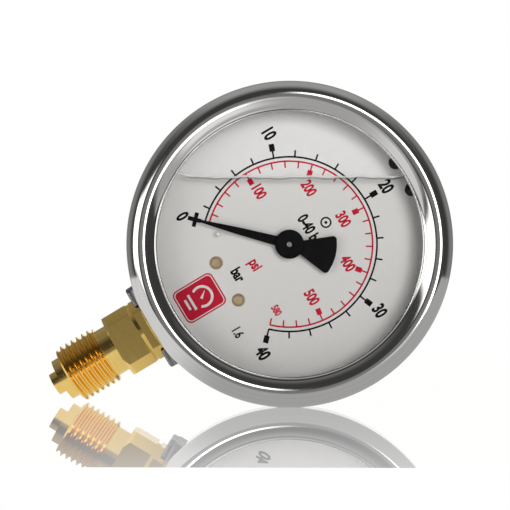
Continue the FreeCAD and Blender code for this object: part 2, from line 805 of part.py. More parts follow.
def make_pointer():
    """Blade, hub disc and fan tail, drawn towards 3 o'clock and turned to the zero mark."""
    front = pointer_back_y - pointer_thickness
    tip = pointer_tip_reach
    blade = flat([(0, -1.12), (11.5, -0.75), (tip - 0.3, -0.2), (tip, 0), (tip - 0.3, 0.2),
                  (11.5, 0.75), (0, 1.12)], front, pointer_back_y)
    hub = rod(0, 0, front, pointer_back_y, pointer_hub_radius)
    spread = math.radians(20.0)
    reach = 9.2
    fan_end = [(-reach * math.cos(a), reach * math.sin(a)) for a in
               (-spread, -spread / 2, 0, spread / 2, spread)]
    fan = flat([(-2.0, -0.3)] + fan_end + [(-2.0, 0.3)], front, pointer_back_y, 0.85)
    pointer = fused([blade, hub, fan]).cut(rod(0, 0, -beyond, 0, pointer_sleeve_radius))
    pointer.rotate(at_dial(0, 0), Vector(0, -1, 0), pointer_angle)
    return pointer


def make_pointer_bush():
    front = pointer_back_y - pointer_thickness
    disc = rod(0, 0, front - 0.6, front, pointer_boss_radius)
    rim = [e for e in disc.Edges if e.BoundBox.YMax < front - 0.5]
    disc = disc.makeFillet(0.45, rim)
    sleeve = rod(0, 0, front, dial_front_y - 0.6, pointer_sleeve_radius)
    return fused([disc, sleeve]).cut(rod(0, 0, -beyond, 0, pinion_front_radius))


def make_glycerine_fill():
    """The front layer of the liquid, between the pointer and the window, up to its level."""
    layer = rod(0, 0, liquid_front_y, liquid_back_y, liquid_radius)
    above = box(level_height, beyond, liquid_front_y - 1, liquid_back_y + 1, -beyond, beyond)
    above.rotate(at_dial(0, 0), Vector(0, -1, 0), level_direction)
    return layer.cut(above)


NODES = {
    "case": make_case,
    "case_collar": make_case_collar,
    "bezel_ring": make_bezel_ring,
    "window": make_window,
    "window_gasket": make_window_gasket,
    "fill_plug": make_fill_plug,
    "case_screws": make_case_screws,
    "connection": make_connection,
    "stem_seal": make_stem_seal,
    "throttle_screw": make_throttle_screw,
    "bourdon_tube": make_bourdon_tube,
    "tube_end_piece": make_tube_end_piece,
    "link": make_link,
    "link_tip_screw": make_link_tip_screw,
    "link_tail_pin": make_link_tail_pin,
    "movement_back_plate": make_back_plate,
    "movement_front_plate": make_front_plate,
    "movement_pillars": make_movement_pillars,
    "pillar_screws": make_pillar_screws,
    "mounting_screws": make_mounting_screws,
    "sector_gear": make_sector_gear,
    "sector_arbor": make_sector_arbor,
    "pinion_gear": make_pinion_gear,
    "pinion_arbor": make_pinion_arbor,
    "hairspring": make_hairspring,
    "hairspring_collet": make_hairspring_collet,
    "hairspring_stud": make_hairspring_stud,
    "dial": make_dial,
    "dial_pillars": make_dial_pillars,
    "dial_screws": make_dial_screws,
    "stop_pin": make_stop_pin,
    "pointer": make_pointer,
    "pointer_bush": make_pointer_bush,
    "glycerine_fill": make_glycerine_fill,
}

os.makedirs("parts", exist_ok=True)
for name, make in NODES.items():
    shape = make()
    bad = [s for s in shape.Solids if not s.isValid() or s.Volume <= 0]
    print(f"{name:22s} solids {len(shape.Solids)} volume {shape.Volume:9.2f} invalid {len(bad)}")
    shape.exportStep(f"parts/{name}.step")
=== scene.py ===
import math

import bmesh
import bpy
from mathutils import Matrix, Vector


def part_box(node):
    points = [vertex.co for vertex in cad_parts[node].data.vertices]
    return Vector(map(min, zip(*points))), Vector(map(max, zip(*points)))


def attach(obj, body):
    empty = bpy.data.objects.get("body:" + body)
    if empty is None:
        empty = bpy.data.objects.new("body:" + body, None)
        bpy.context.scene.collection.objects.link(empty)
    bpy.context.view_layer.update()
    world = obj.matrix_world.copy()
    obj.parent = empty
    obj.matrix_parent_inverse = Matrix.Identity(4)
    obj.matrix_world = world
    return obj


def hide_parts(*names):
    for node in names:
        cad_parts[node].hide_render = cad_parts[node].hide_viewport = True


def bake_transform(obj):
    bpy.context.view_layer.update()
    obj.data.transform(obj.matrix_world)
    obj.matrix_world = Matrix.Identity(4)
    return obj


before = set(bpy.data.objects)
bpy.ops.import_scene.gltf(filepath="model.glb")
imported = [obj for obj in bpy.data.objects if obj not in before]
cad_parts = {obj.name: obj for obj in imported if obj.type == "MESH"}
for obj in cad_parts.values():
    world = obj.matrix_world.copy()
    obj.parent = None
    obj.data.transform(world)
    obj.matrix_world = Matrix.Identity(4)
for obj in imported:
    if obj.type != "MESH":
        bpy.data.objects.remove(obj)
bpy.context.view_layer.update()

MM = 0.001


def axis_of(node):
    """The middle of a round node's box."""
    low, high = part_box(node)
    return (Vector(low) + Vector(high)) / 2


bezel_low, bezel_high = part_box("bezel_ring")
CENTRE = axis_of("bezel_ring")
DIAL_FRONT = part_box("dial")[0][1]
CREST = bezel_low[1]
BEZEL_REAR = bezel_high[1]

# The gauge lies rolled in the photograph: these are the picture's right and up.
ROLL = math.radians(59.1)
RIGHT = Vector((math.cos(ROLL), 0, math.sin(ROLL)))
UP = Vector((-math.sin(ROLL), 0, math.cos(ROLL)))
FRONT = Vector((0, -1, 0))

SEGMENTS = 384           # round the dial's axis
LIQUID_LEVEL = 14.2      # mm above the dial's centre, along UP
RIM_RADIUS = 34.3        # mm, of the bezel ring
RIM_SIDE = -14.0         # mm, y where its side starts behind the front round


# ---- points and meshes -------------------------------------------------------

def on_dial(x, z, y):
    """A point from the dial's centre, x and z in mm and y in metres."""
    return Vector((CENTRE.x + x * MM, y, CENTRE.z + z * MM))


def polar(radius, degrees):
    angle = math.radians(degrees)
    return radius * math.cos(angle), radius * math.sin(angle)


def finish_mesh(name, bm, material, smooth=None):
    bmesh.ops.recalc_face_normals(bm, faces=bm.faces)
    mesh = bpy.data.meshes.new(name)
    bm.to_mesh(mesh)
    bm.free()
    piece = bpy.data.objects.new(name, mesh)
    bpy.context.scene.collection.objects.link(piece)
    mesh.materials.append(material)
    if smooth is not None:
        for face in mesh.polygons:
            face.use_smooth = True
        mesh.set_sharp_from_angle(angle=math.radians(smooth))
    return piece


def lathe(name, section, material):
    """A closed section of (radius in mm, y in metres) turned round the dial's axis."""
    bm = bmesh.new()
    rings = []
    for n in range(SEGMENTS):
        angle = 2 * math.pi * n / SEGMENTS
        rings.append([bm.verts.new(on_dial(r * math.cos(angle), r * math.sin(angle), y))
                      for r, y in section])
    for n in range(SEGMENTS):
        here = rings[n]
        there = rings[(n + 1) % SEGMENTS]
        for k in range(len(section)):
            k2 = (k + 1) % len(section)
            bm.faces.new((here[k], here[k2], there[k2], there[k]))
    return finish_mesh(name, bm, material, 35)


def rounded(corners, steps=10):
    """A closed outline from (a, b, fillet radius) corners, as (a, b) points."""
    outline = []
    for n, (a, b, radius) in enumerate(corners):
        here = Vector((a, b))
        if radius == 0:
            outline.append(here)
            continue
        before = Vector(corners[n - 1][:2]) - here
        after = Vector(corners[(n + 1) % len(corners)][:2]) - here
        half = before.angle(after) / 2
        run = radius / math.tan(half)
        inward = (before.normalized() + after.normalized()).normalized()
        middle = here + inward * (radius / math.sin(half))
        start = here + before.normalized() * run - middle
        end = here + after.normalized() * run - middle
        sweep = start.angle(end)
        for k in range(steps + 1):
            share = k / steps
            blend = start * math.sin((1 - share) * sweep) + end * math.sin(share * sweep)
            outline.append(middle + blend / math.sin(sweep))
    return outline


def add_prism(bm, outline, front, back):
    """A closed plate between two depths in metres, from (x, z) points in mm."""
    near = [bm.verts.new(on_dial(x, z, front)) for x, z in outline]
    far = [bm.verts.new(on_dial(x, z, back)) for x, z in outline]
    bm.faces.new(near)
    bm.faces.new(far[::-1])
    for n in range(len(outline)):
        m = (n + 1) % len(outline)
        bm.faces.new((near[m], near[n], far[n], far[m]))


def join_rows(bm, rows):
    """Closes a strip of four-cornered cross sections."""
    for here, there in zip(rows, rows[1:]):
        for k, m in ((0, 2), (2, 3), (3, 1), (1, 0)):
            bm.faces.new((here[k], here[m], there[m], there[k]))
    for row in (rows[0], rows[-1]):
        bm.faces.new((row[0], row[1], row[3], row[2]))


def add_arc(bm, radius, width, start, end, front, back):
    """A closed strip along an arc, between two angles in degrees."""
    steps = max(2, int(abs(end - start)))
    rows = []
    for n in range(steps + 1):
        angle = start + (end - start) * n / steps
        row = []
        for r in (radius - width / 2, radius + width / 2):
            x, z = polar(r, angle)
            row.append(bm.verts.new(on_dial(x, z, front)))
            row.append(bm.verts.new(on_dial(x, z, back)))
        rows.append(row)
    join_rows(bm, rows)


# ---- materials ---------------------------------------------------------------

def new_material(name):
    material = bpy.data.materials.new(name)
    material.use_nodes = True
    tree = material.node_tree
    return material, tree, tree.nodes["Principled BSDF"]


def add_grain(tree, stretch, about_dial=False):
    """Noise in the part's own space, its cycles per metre given for each axis."""
    nodes, links = tree.nodes, tree.links
    place = nodes.new("ShaderNodeTexCoord").outputs["Object"]
    if about_dial:
        flat = nodes.new("ShaderNodeVectorMath")
        flat.operation = "MULTIPLY_ADD"
        flat.inputs[1].default_value = (1, 0, 1)
        flat.inputs[2].default_value = (-CENTRE.x, 0, -CENTRE.z)
        links.new(place, flat.inputs[0])
        length = nodes.new("ShaderNodeVectorMath")
        length.operation = "LENGTH"
        links.new(flat.outputs[0], length.inputs[0])
        split = nodes.new("ShaderNodeSeparateXYZ")
        links.new(place, split.inputs[0])
        join = nodes.new("ShaderNodeCombineXYZ")
        links.new(length.outputs["Value"], join.inputs[0])
        links.new(split.outputs[1], join.inputs[1])
        place = join.outputs[0]
    scale = nodes.new("ShaderNodeVectorMath")
    scale.operation = "MULTIPLY"
    scale.inputs[1].default_value = stretch
    links.new(place, scale.inputs[0])
    noise = nodes.new("ShaderNodeTexNoise")
    noise.inputs["Scale"].default_value = 1.0
    noise.inputs["Detail"].default_value = 3.0
    links.new(scale.outputs[0], noise.inputs["Vector"])
    return noise.outputs["Fac"]


def mapped(tree, value, low, high):
    spread = tree.nodes.new("ShaderNodeMapRange")
    spread.inputs["From Min"].default_value = 0.3
    spread.inputs["From Max"].default_value = 0.7
    spread.inputs["To Min"].default_value = low
    spread.inputs["To Max"].default_value = high
    tree.links.new(value, spread.inputs["Value"])
    return spread.outputs["Result"]


def add_bump(tree, value, depth):
    bump = tree.nodes.new("ShaderNodeBump")
    bump.inputs["Strength"].default_value = 1.0
    bump.inputs["Distance"].default_value = depth
    tree.links.new(value, bump.inputs["Height"])
    return bump.outputs["Normal"]


def add_tint(tree, value, colour, other):
    mix = tree.nodes.new("ShaderNodeMix")
    mix.data_type = "RGBA"
    mix.inputs[6].default_value = (*colour, 1)
    mix.inputs[7].default_value = (*other, 1)
    tree.links.new(mapped(tree, value, 0, 1), mix.inputs[0])
    return mix.outputs[2]


def surface(name, colour, other, metallic, rough, stretch=(1500, 1500, 1500), depth=0.000002,
            about_dial=False, specular=0.5):
    """A surface whose colour, roughness and fine relief vary with one noise."""
    material, tree, shader = new_material(name)
    grain = add_grain(tree, stretch, about_dial)
    tree.links.new(add_tint(tree, grain, colour, other), shader.inputs["Base Color"])
    tree.links.new(mapped(tree, grain, *rough), shader.inputs["Roughness"])
    tree.links.new(add_bump(tree, grain, depth), shader.inputs["Normal"])
    shader.inputs["Metallic"].default_value = metallic
    shader.inputs["Specular IOR Level"].default_value = specular
    return material


def clear(name, tint, gloss_rough, ior, share=1.0):
    """Clear plastic or liquid: straight through, with a share of the Fresnel gloss."""
    material, tree, shader = new_material(name)
    nodes, links = tree.nodes, tree.links
    nodes.remove(shader)
    grain = add_grain(tree, (60, 60, 60))
    through = nodes.new("ShaderNodeBsdfTransparent")
    through.inputs["Color"].default_value = (*tint, 1)
    gloss = nodes.new("ShaderNodeBsdfGlossy")
    links.new(mapped(tree, grain, *gloss_rough), gloss.inputs["Roughness"])
    links.new(add_bump(tree, grain, 0.0000005), gloss.inputs["Normal"])
    fresnel = nodes.new("ShaderNodeFresnel")
    fresnel.inputs["IOR"].default_value = ior
    amount = nodes.new("ShaderNodeMath")
    amount.operation = "MULTIPLY"
    amount.inputs[1].default_value = share
    links.new(fresnel.outputs[0], amount.inputs[0])
    mix = nodes.new("ShaderNodeMixShader")
    links.new(amount.outputs[0], mix.inputs[0])
    links.new(through.outputs[0], mix.inputs[1])
    links.new(gloss.outputs[0], mix.inputs[2])
    links.new(mix.outputs[0], nodes["Material Output"].inputs["Surface"])
    return material


satin_steel = surface("satin_stainless", (0.60, 0.59, 0.57), (0.54, 0.53, 0.51), 1.0, (0.24, 0.36),
                      (300, 9000, 300), 0.0000015)
# The collar's stainless is a darker copy of the case's: painted shade.
shaded_collar_steel = surface("collar_stainless_painted_shade", (0.30, 0.30, 0.30), (0.25, 0.25, 0.25), 1.0, (0.26, 0.38),
                       (900, 900, 5000), 0.0000015)
polished_steel = surface("polished_steel", (0.74, 0.735, 0.72), (0.70, 0.695, 0.68), 1.0, (0.07, 0.12),
                         (3000, 3000, 1), 0.0000003, about_dial=True)
screw_steel = surface("screw_steel", (0.62, 0.61, 0.59), (0.55, 0.54, 0.52), 1.0, (0.22, 0.36))
arbor_steel = surface("arbor_steel", (0.72, 0.71, 0.70), (0.66, 0.65, 0.64), 1.0, (0.16, 0.26))
gasket_rubber = surface("gasket_rubber", (0.020, 0.020, 0.021), (0.030, 0.030, 0.031), 0.0, (0.50, 0.65),
                        (2500, 2500, 2500), 0.000006)
plug_rubber = surface("plug_rubber", (0.007, 0.007, 0.008), (0.012, 0.012, 0.013), 0.0, (0.45, 0.60),
                      (2500, 2500, 2500), 0.000005)
brass_body = surface("turned_brass", (0.95, 0.67, 0.21), (0.90, 0.62, 0.18), 1.0, (0.10, 0.17),
                     (150, 150, 2500), 0.0000008)
brass_small = surface("brass_small", (0.84, 0.62, 0.27), (0.76, 0.55, 0.22), 1.0, (0.20, 0.34))
screw_brass = surface("screw_brass", (0.62, 0.48, 0.30), (0.50, 0.38, 0.23), 0.6, (0.42, 0.55))
plate_brass = surface("plate_brass", (0.82, 0.62, 0.30), (0.75, 0.56, 0.26), 1.0, (0.24, 0.38),
                      (400, 400, 6000))
tube_bronze = surface("tube_bronze", (0.72, 0.44, 0.24), (0.64, 0.38, 0.20), 1.0, (0.22, 0.36))
spring_bronze = surface("spring_bronze", (0.78, 0.52, 0.30), (0.70, 0.46, 0.26), 1.0, (0.20, 0.32))
dial_white = surface("dial_paint", (0.83, 0.82, 0.81), (0.80, 0.79, 0.78), 0.0, (0.40, 0.52),
                     (700, 700, 700), 0.000001)
pin_white = surface("pin_white", (0.84, 0.84, 0.83), (0.80, 0.80, 0.79), 0.0, (0.26, 0.36))
pointer_black = surface("pointer_black", (0.004, 0.004, 0.005), (0.007, 0.007, 0.008), 0.0, (0.55, 0.68),
                        (2000, 2000, 2000), 0.000002, specular=0.05)
ink_black = surface("ink_black", (0.004, 0.004, 0.004), (0.009, 0.009, 0.009), 0.0, (0.45, 0.60),
                    specular=0.05)
ink_red = surface("ink_red", (0.62, 0.012, 0.045), (0.56, 0.010, 0.038), 0.0, (0.45, 0.60), specular=0.1)
ink_white = surface("ink_white", (0.82, 0.82, 0.81), (0.78, 0.78, 0.77), 0.0, (0.45, 0.60), specular=0.3)
window_clear = clear("window_acrylic", (0.995, 0.995, 0.995), (0.01, 0.04), 1.18)
liquid_clear = clear("glycerine", (0.995, 0.994, 0.990), (0.01, 0.04), 1.02, share=0.12)

LOOKS = {
    satin_steel: ["case"],
    shaded_collar_steel: ["case_collar"],
    polished_steel: ["bezel_ring"],
    screw_steel: ["case_screws", "mounting_screws"],
    arbor_steel: ["sector_arbor", "pinion_arbor"],
    gasket_rubber: ["window_gasket", "stem_seal"],
    plug_rubber: ["fill_plug"],
    brass_body: ["connection"],
    brass_small: ["throttle_screw", "tube_end_piece", "link", "movement_pillars", "pinion_gear",
                  "hairspring_collet", "hairspring_stud", "dial_pillars", "link_tip_screw",
                  "link_tail_pin", "pillar_screws"],
    screw_brass: ["dial_screws"],
    plate_brass: ["movement_back_plate", "movement_front_plate", "sector_gear"],
    tube_bronze: ["bourdon_tube"],
    spring_bronze: ["hairspring"],
    dial_white: ["dial"],
    pin_white: ["stop_pin"],
    pointer_black: ["pointer", "pointer_bush"],
    window_clear: ["window"],
    liquid_clear: ["glycerine_fill"],
}
looked_after = set()
for look, names in LOOKS.items():
    for node_name in names:
        looked_after.add(node_name)
        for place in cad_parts[node_name].material_slots:
            place.material = look
assert looked_after == set(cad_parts), set(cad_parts) - looked_after


# ---- bezel -------------------------------------------------------------------

CREST_RADIUS = 31.1      # mm, of the ring's highest line round the dial
SHEET = 0.8              # mm, its thickness
SLOPE_ROUND = 6.5        # mm, the flatter round between crest and lip
SLOPE_START = 33         # degrees of slope at that round's two ends
SLOPE_END = 21
LIP_RADIUS = 28.02       # mm, the bead round the opening
LIP_ROUND = 0.28
LIP_DEPTH = 0.95         # mm behind the crest


def round_points(middle, radius, first, last, steps):
    """Points (radius, y) in mm on a round that is level at its front, by slope in degrees."""
    points = []
    for n in range(steps + 1):
        slope = math.radians(first + (last - first) * n / steps)
        points.append((middle[0] + radius * math.sin(slope), middle[1] - radius * math.cos(slope)))
    return points


def make_bezel():
    """The rolled ring, with finer steps than the CAD mesh and a small bead at its lip."""
    crest = CREST / MM
    rear = BEZEL_REAR / MM
    outer = RIM_RADIUS - CREST_RADIUS
    middle = (CREST_RADIUS, crest + outer)
    slope_middle = round_points(middle, outer - SLOPE_ROUND, -SLOPE_END, -SLOPE_END, 1)[0]
    lip_middle = (LIP_RADIUS, crest + LIP_DEPTH + LIP_ROUND)
    section = [(28.0, -17.25)]
    section += round_points(lip_middle, LIP_ROUND, -90, 55, 16)
    section += round_points(slope_middle, SLOPE_ROUND, -SLOPE_START - 2, -SLOPE_END, 16)
    section += round_points(middle, outer, -SLOPE_END, 90, 72)[1:]
    edge = rounded([(RIM_RADIUS, RIM_SIDE, 0), (RIM_RADIUS, rear, 0.7), (RIM_RADIUS - 2.9, rear, 0),
                    (RIM_RADIUS - 2.9, rear - SHEET, 0), (RIM_RADIUS - SHEET, rear - SHEET, 0.1)])
    section += [tuple(point) for point in edge]
    section += round_points(middle, outer - SHEET, 90, -SLOPE_END, 24)
    section += [(28.35, -17.05)]
    ring = lathe("bezel_ring_polished", [(r, y * MM) for r, y in section], polished_steel)
    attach(ring, "housing")
    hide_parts("bezel_ring")


# ---- bourdon tube ------------------------------------------------------------

TUBE_RADIUS = 20.0       # mm, of its centre line
TUBE_Y = 4.5
TUBE_AXIAL = 9.0
TUBE_RADIAL = 3.6
TUBE_WALL = 0.5
TUBE_ROOT = 262          # degrees
TUBE_TIP = -15


def oval(radial, axial, steps=12):
    """A flat oval round the tube's centre line, as (radius, y) in mm."""
    half = axial / 2 - radial / 2
    points = []
    for end in (1, -1):
        for n in range(steps + 1):
            angle = math.pi * n / steps
            points.append((TUBE_RADIUS + end * radial / 2 * math.cos(angle),
                           TUBE_Y + end * (half + radial / 2 * math.sin(angle))))
    return points


def make_bourdon_tube():
    """The C-shaped spring, one still mesh from its soldered root to its moving tip."""
    bm = bmesh.new()
    skins = []
    for wall in (0, TUBE_WALL):
        rings = []
        for degrees in range(TUBE_TIP, TUBE_ROOT + 1):
            cos, sin = polar(1.0, degrees)
            rings.append([bm.verts.new(on_dial(cos * r, sin * r, y * MM))
                          for r, y in oval(TUBE_RADIAL - 2 * wall, TUBE_AXIAL - 2 * wall)])
        skins.append(rings)
        for here, there in zip(rings, rings[1:]):
            for k in range(len(here)):
                m = (k + 1) % len(here)
                bm.faces.new((here[k], here[m], there[m], there[k]))
    for end in (0, -1):
        outside, inside = skins[0][end], skins[1][end]
        for k in range(len(outside)):
            m = (k + 1) % len(outside)
            bm.faces.new((outside[k], outside[m], inside[m], inside[k]))
    tube = finish_mesh("bourdon_tube_bent", bm, tube_bronze, 40)
    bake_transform(tube)
    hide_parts("bourdon_tube")


# ---- dial print --------------------------------------------------------------

INK = 0.02 * MM          # thickness of the print
PSI_PER_BAR = 14.504


def bar_angle(bar):
    """Degrees anticlockwise from 3 o'clock. The dial is closer together near zero."""
    if bar >= 20:
        return 90 - 6.73 * (bar - 20)
    if bar >= 2:
        return 90 + 6.95 * (20 - bar)
    at_two = 90 + 6.95 * 18
    return 224.5 + (at_two - 224.5) * bar / 2


def psi_angle(psi):
    return bar_angle(psi / PSI_PER_BAR)


def add_tick(bm, angle, start, end, width, proud):
    """A bar along the radius at one angle."""
    along = Vector(polar(1.0, angle))
    across = Vector((-along.y, along.x)) * width / 2
    outline = [along * start - across, along * end - across,
               along * end + across, along * start + across]
    add_prism(bm, outline, DIAL_FRONT - INK * proud, DIAL_FRONT)


def print_piece(name, bm, ink):
    """Finishes a piece that sits still on the housing."""
    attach(finish_mesh(name, bm, ink), "housing")


def make_scale(name, radius, line, marks, ink):
    """One arc with its marks. A mark is (angle, [(start, end, width), ...])."""
    bm = bmesh.new()
    angles = [angle for angle, bars in marks]
    add_arc(bm, radius, line, min(angles), max(angles), DIAL_FRONT - INK, DIAL_FRONT)
    for angle, bars in marks:
        for proud, (start, end, width) in enumerate(bars):
            add_tick(bm, angle, start, end, width, 1.1 + 0.1 * proud)
    print_piece(name, bm, ink)


def make_scales():
    black = []
    for bar in range(0, 41, 2):
        if bar % 10 == 0:
            black.append((bar_angle(bar), [(18.5, 20.1, 0.36), (20.0, 21.6, 1.15)]))
        else:
            black.append((bar_angle(bar), [(18.5, 20.0, 0.36)]))
    black[0] = (bar_angle(0), [(18.5, 20.3, 0.30), (19.4, 22.3, 0.9), (20.25, 21.1, 3.1)])
    make_scale("bar_scale", 18.55, 0.38, black, ink_black)
    red = []
    for psi in range(0, 581, 20):
        if psi % 100 == 0 and psi:
            red.append((psi_angle(psi), [(16.1, 17.65, 0.32), (14.9, 16.3, 1.1)]))
        else:
            red.append((psi_angle(psi), [(16.2, 17.65, 0.32)]))
    make_scale("psi_scale", 17.62, 0.36, red, ink_red)


def text_mesh(text, weight):
    """The text as a mesh with its own unit size, from Blender's built-in font."""
    curve = bpy.data.curves.new("text", "FONT")
    curve.body = text
    curve.align_x = "CENTER"
    curve.offset = weight
    curve.extrude = 0.5
    curve.resolution_u = 6
    holder = bpy.data.objects.new("text", curve)
    bpy.context.scene.collection.objects.link(holder)
    bpy.context.view_layer.update()
    mesh = bpy.data.meshes.new_from_object(holder)
    bpy.data.objects.remove(holder)
    bpy.data.curves.remove(curve)
    return mesh


DIGIT_HEIGHT = 0.0
for vertex in text_mesh("0", 0.0).vertices:
    DIGIT_HEIGHT = max(DIGIT_HEIGHT, vertex.co.y)


SQUEEZE = 0.68           # the print's letters are narrower than the font's


def print_text(name, text, x, z, height, ink, weight=0.040):
    """Text centred on (x, z) from the dial's centre, with digits that high, in mm."""
    mesh = text_mesh(text, weight)
    bm = bmesh.new()
    bm.from_mesh(mesh)
    bpy.data.meshes.remove(mesh)
    bmesh.ops.remove_doubles(bm, verts=bm.verts, dist=0.0001)
    low = Vector([min(v.co[k] for v in bm.verts) for k in range(2)])
    high = Vector([max(v.co[k] for v in bm.verts) for k in range(2)])
    middle = (low + high) / 2
    scale = height / DIGIT_HEIGHT
    for v in bm.verts:
        across = (v.co.x - middle.x) * scale * SQUEEZE
        upward = (v.co.y - middle.y) * scale
        depth = DIAL_FRONT - INK * 1.2 if v.co.z > 0 else DIAL_FRONT
        v.co = on_dial(x + across, z + upward, depth)
    print_piece(name, bm, ink)


def make_numerals():
    places = {0: 23.5, 10: 23.8, 20: 23.9, 30: 23.8, 40: 23.8}
    for bar, reach in places.items():
        x, z = polar(reach, bar_angle(bar))
        print_text(f"bar_{bar}", str(bar), x, z, 2.6, ink_black)
    # Distance from the dial's centre, angle and height of each psi numeral.
    numerals = {100: (12.85, 179, 2.2), 200: (12.6, 130, 2.2), 300: (12.6, 84, 2.2),
                400: (13.0, 41, 2.2), 500: (12.2, -8, 2.2), 580: (14.3, -42, 1.5)}
    for psi, (reach, angle, height) in numerals.items():
        x, z = polar(reach, angle)
        print_text(f"psi_{psi}", str(psi), x, z, height, ink_red)
    print_text("unit_psi", "psi", 0, -8.8, 2.2, ink_red)
    print_text("unit_bar", "bar", 0, -12.7, 2.2, ink_black)
    print_text("range_mark", "0-40 bar", 0, 5.3, 2.25, ink_black)
    print_text("class_mark", "1.6", 10.5, -19.0, 1.95, ink_black, weight=0.03)


def add_outline(bm, centre, corners, proud):
    """A closed plate of the dial's print, from rounded corners round a centre in mm."""
    outline = [(centre[0] + p.x, centre[1] + p.y) for p in rounded(corners, 6)]
    add_prism(bm, outline, DIAL_FRONT - INK * proud, DIAL_FRONT)


def box_corners(width, height, radius):
    x = width / 2
    z = height / 2
    return [(-x, -z, radius), (x, -z, radius), (x, z, radius), (-x, z, radius)]


def ring_outline(centre, inner, outer, first, last):
    """A strip along an arc round any point of the dial, as (x, z) in mm."""
    near = []
    far = []
    steps = 36
    for n in range(steps + 1):
        x, z = polar(1.0, first + (last - first) * n / steps)
        near.append((centre[0] + x * inner, centre[1] + z * inner))
        far.append((centre[0] + x * outer, centre[1] + z * outer))
    return near + far[::-1]


EMBLEM = (0, -22.3)      # mm, its middle
EMBLEM_HUB = Vector((0, -21.6))


def make_emblem():
    """A plain red plate with a small drawing of a gauge and two bars under it."""
    layers = (("emblem_plate", 7.7, 9.7, 1.3, 1.0, ink_red),
              ("emblem_border", 7.1, 9.1, 1.05, 1.2, ink_white),
              ("emblem_field", 6.7, 8.7, 0.9, 1.4, ink_red))
    for name, width, height, radius, proud, ink in layers:
        plate = bmesh.new()
        add_outline(plate, EMBLEM, box_corners(width, height, radius), proud)
        print_piece(name, plate, ink)
    drawing = bmesh.new()
    front = DIAL_FRONT - INK * 1.6
    add_prism(drawing, ring_outline(EMBLEM_HUB, 1.85, 2.4, 215, -35), front, DIAL_FRONT)
    along = Vector(polar(1.0, 128))
    across = Vector((-along.y, along.x)) * 0.3
    foot = EMBLEM_HUB - along * 0.5
    needle = [foot - across, EMBLEM_HUB + along * 1.6, foot + across]
    add_prism(drawing, needle, front, DIAL_FRONT)
    for drop, width in ((2.5, 3.6), (3.6, 2.4)):
        add_outline(drawing, (0, EMBLEM_HUB.y - drop), box_corners(width, 0.55, 0.1), 1.6)
    print_piece("emblem_drawing", drawing, ink_white)


def make_ring_mark():
    """A small ring with a dot, above the pointer's hub."""
    mark = bmesh.new()
    centre = (0, 9.0)
    front = DIAL_FRONT - INK
    add_prism(mark, ring_outline(centre, 0.85, 1.2, 0, 180), front, DIAL_FRONT)
    add_prism(mark, ring_outline(centre, 0.85, 1.2, 180, 360), front, DIAL_FRONT)
    dot_corners = [polar(0.35, 60 * n) for n in range(6)]
    dot_outline = [(centre[0] + x, centre[1] + z) for x, z in dot_corners]
    add_prism(mark, dot_outline, front, DIAL_FRONT)
    print_piece("ring_mark", mark, ink_black)


# ---- liquid's edge -----------------------------------------------------------

def veil(name, cover, colour):
    """A thin film in a painted colour, which partly covers what lies behind it. It paints the highlight
    and the shade along the liquid's edge.
    """
    material, tree, shader = new_material(name)
    nodes, links = tree.nodes, tree.links
    grain = add_grain(tree, (400, 400, 400))
    shader.inputs["Base Color"].default_value = (*colour, 1)
    links.new(mapped(tree, grain, 0.15, 0.30), shader.inputs["Roughness"])
    links.new(add_bump(tree, grain, 0.00001), shader.inputs["Normal"])
    through = nodes.new("ShaderNodeBsdfTransparent")
    mix = nodes.new("ShaderNodeMixShader")
    links.new(mapped(tree, grain, cover - 0.1, cover + 0.1), mix.inputs[0])
    links.new(through.outputs[0], mix.inputs[1])
    links.new(shader.outputs[0], mix.inputs[2])
    links.new(mix.outputs[0], nodes["Material Output"].inputs["Surface"])
    return material


LEVEL_REACH = 25.0       # mm to each side
LEVEL_STEPS = 100


def level_height(along):
    """Height of the liquid's edge above the dial's centre in mm. It climbs at the rim."""
    wave = 0.10 * math.sin(along * 0.55) + 0.07 * math.sin(along * 1.31 + 1.0)
    climb = 0.0
    if along < -19.0:
        climb = 0.05 * (-19.0 - along) ** 2
    if along > 21.0:
        climb = 0.03 * (along - 21.0) ** 2
    return LIQUID_LEVEL + wave + climb


def make_level_strip(name, upper, lower, front, back, material):
    """A strip along the liquid's edge, between two offsets from it in mm."""
    bm = bmesh.new()
    rows = []
    for n in range(LEVEL_STEPS + 1):
        along = LEVEL_REACH * (2 * n / LEVEL_STEPS - 1)
        row = []
        for offset in (lower, upper):
            height = level_height(along) + offset
            x = RIGHT.x * along + UP.x * height
            z = RIGHT.z * along + UP.z * height
            row.append(bm.verts.new(on_dial(x, z, front)))
            row.append(bm.verts.new(on_dial(x, z, back)))
        rows.append(row)
    join_rows(bm, rows)
    print_piece(name, bm, material)


def make_liquid_edge():
    liquid_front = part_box("glycerine_fill")[0][1]
    front = liquid_front - 0.06 * MM
    back = liquid_front - 0.02 * MM
    # A light film paints the highlight along the liquid's edge, and a grey film paints the shade just
    # under it.
    painted_highlight = veil("liquid_edge_painted_highlight", 0.5, (0.86, 0.86, 0.85))
    shade = veil("liquid_edge_painted_shade", 0.12, (0.50, 0.50, 0.49))
    make_level_strip("liquid_edge", 0.22, -0.18, front, back, painted_highlight)
    make_level_strip("liquid_edge_shade", -0.19, -0.50, front, back, shade)


# ---- stage -------------------------------------------------------------------

def dot(tree, value, direction):
    node = tree.nodes.new("ShaderNodeVectorMath")
    node.operation = "DOT_PRODUCT"
    node.inputs[1].default_value = direction
    tree.links.new(value, node.inputs[0])
    return node.outputs["Value"]


def calc(tree, operation, a, b=None, clamp=False):
    node = tree.nodes.new("ShaderNodeMath")
    node.operation = operation
    node.use_clamp = clamp
    for socket, value in zip(node.inputs, (a, b)):
        if value is None:
            continue
        if isinstance(value, (int, float)):
            socket.default_value = value
        else:
            tree.links.new(value, socket)
    return node.outputs[0]


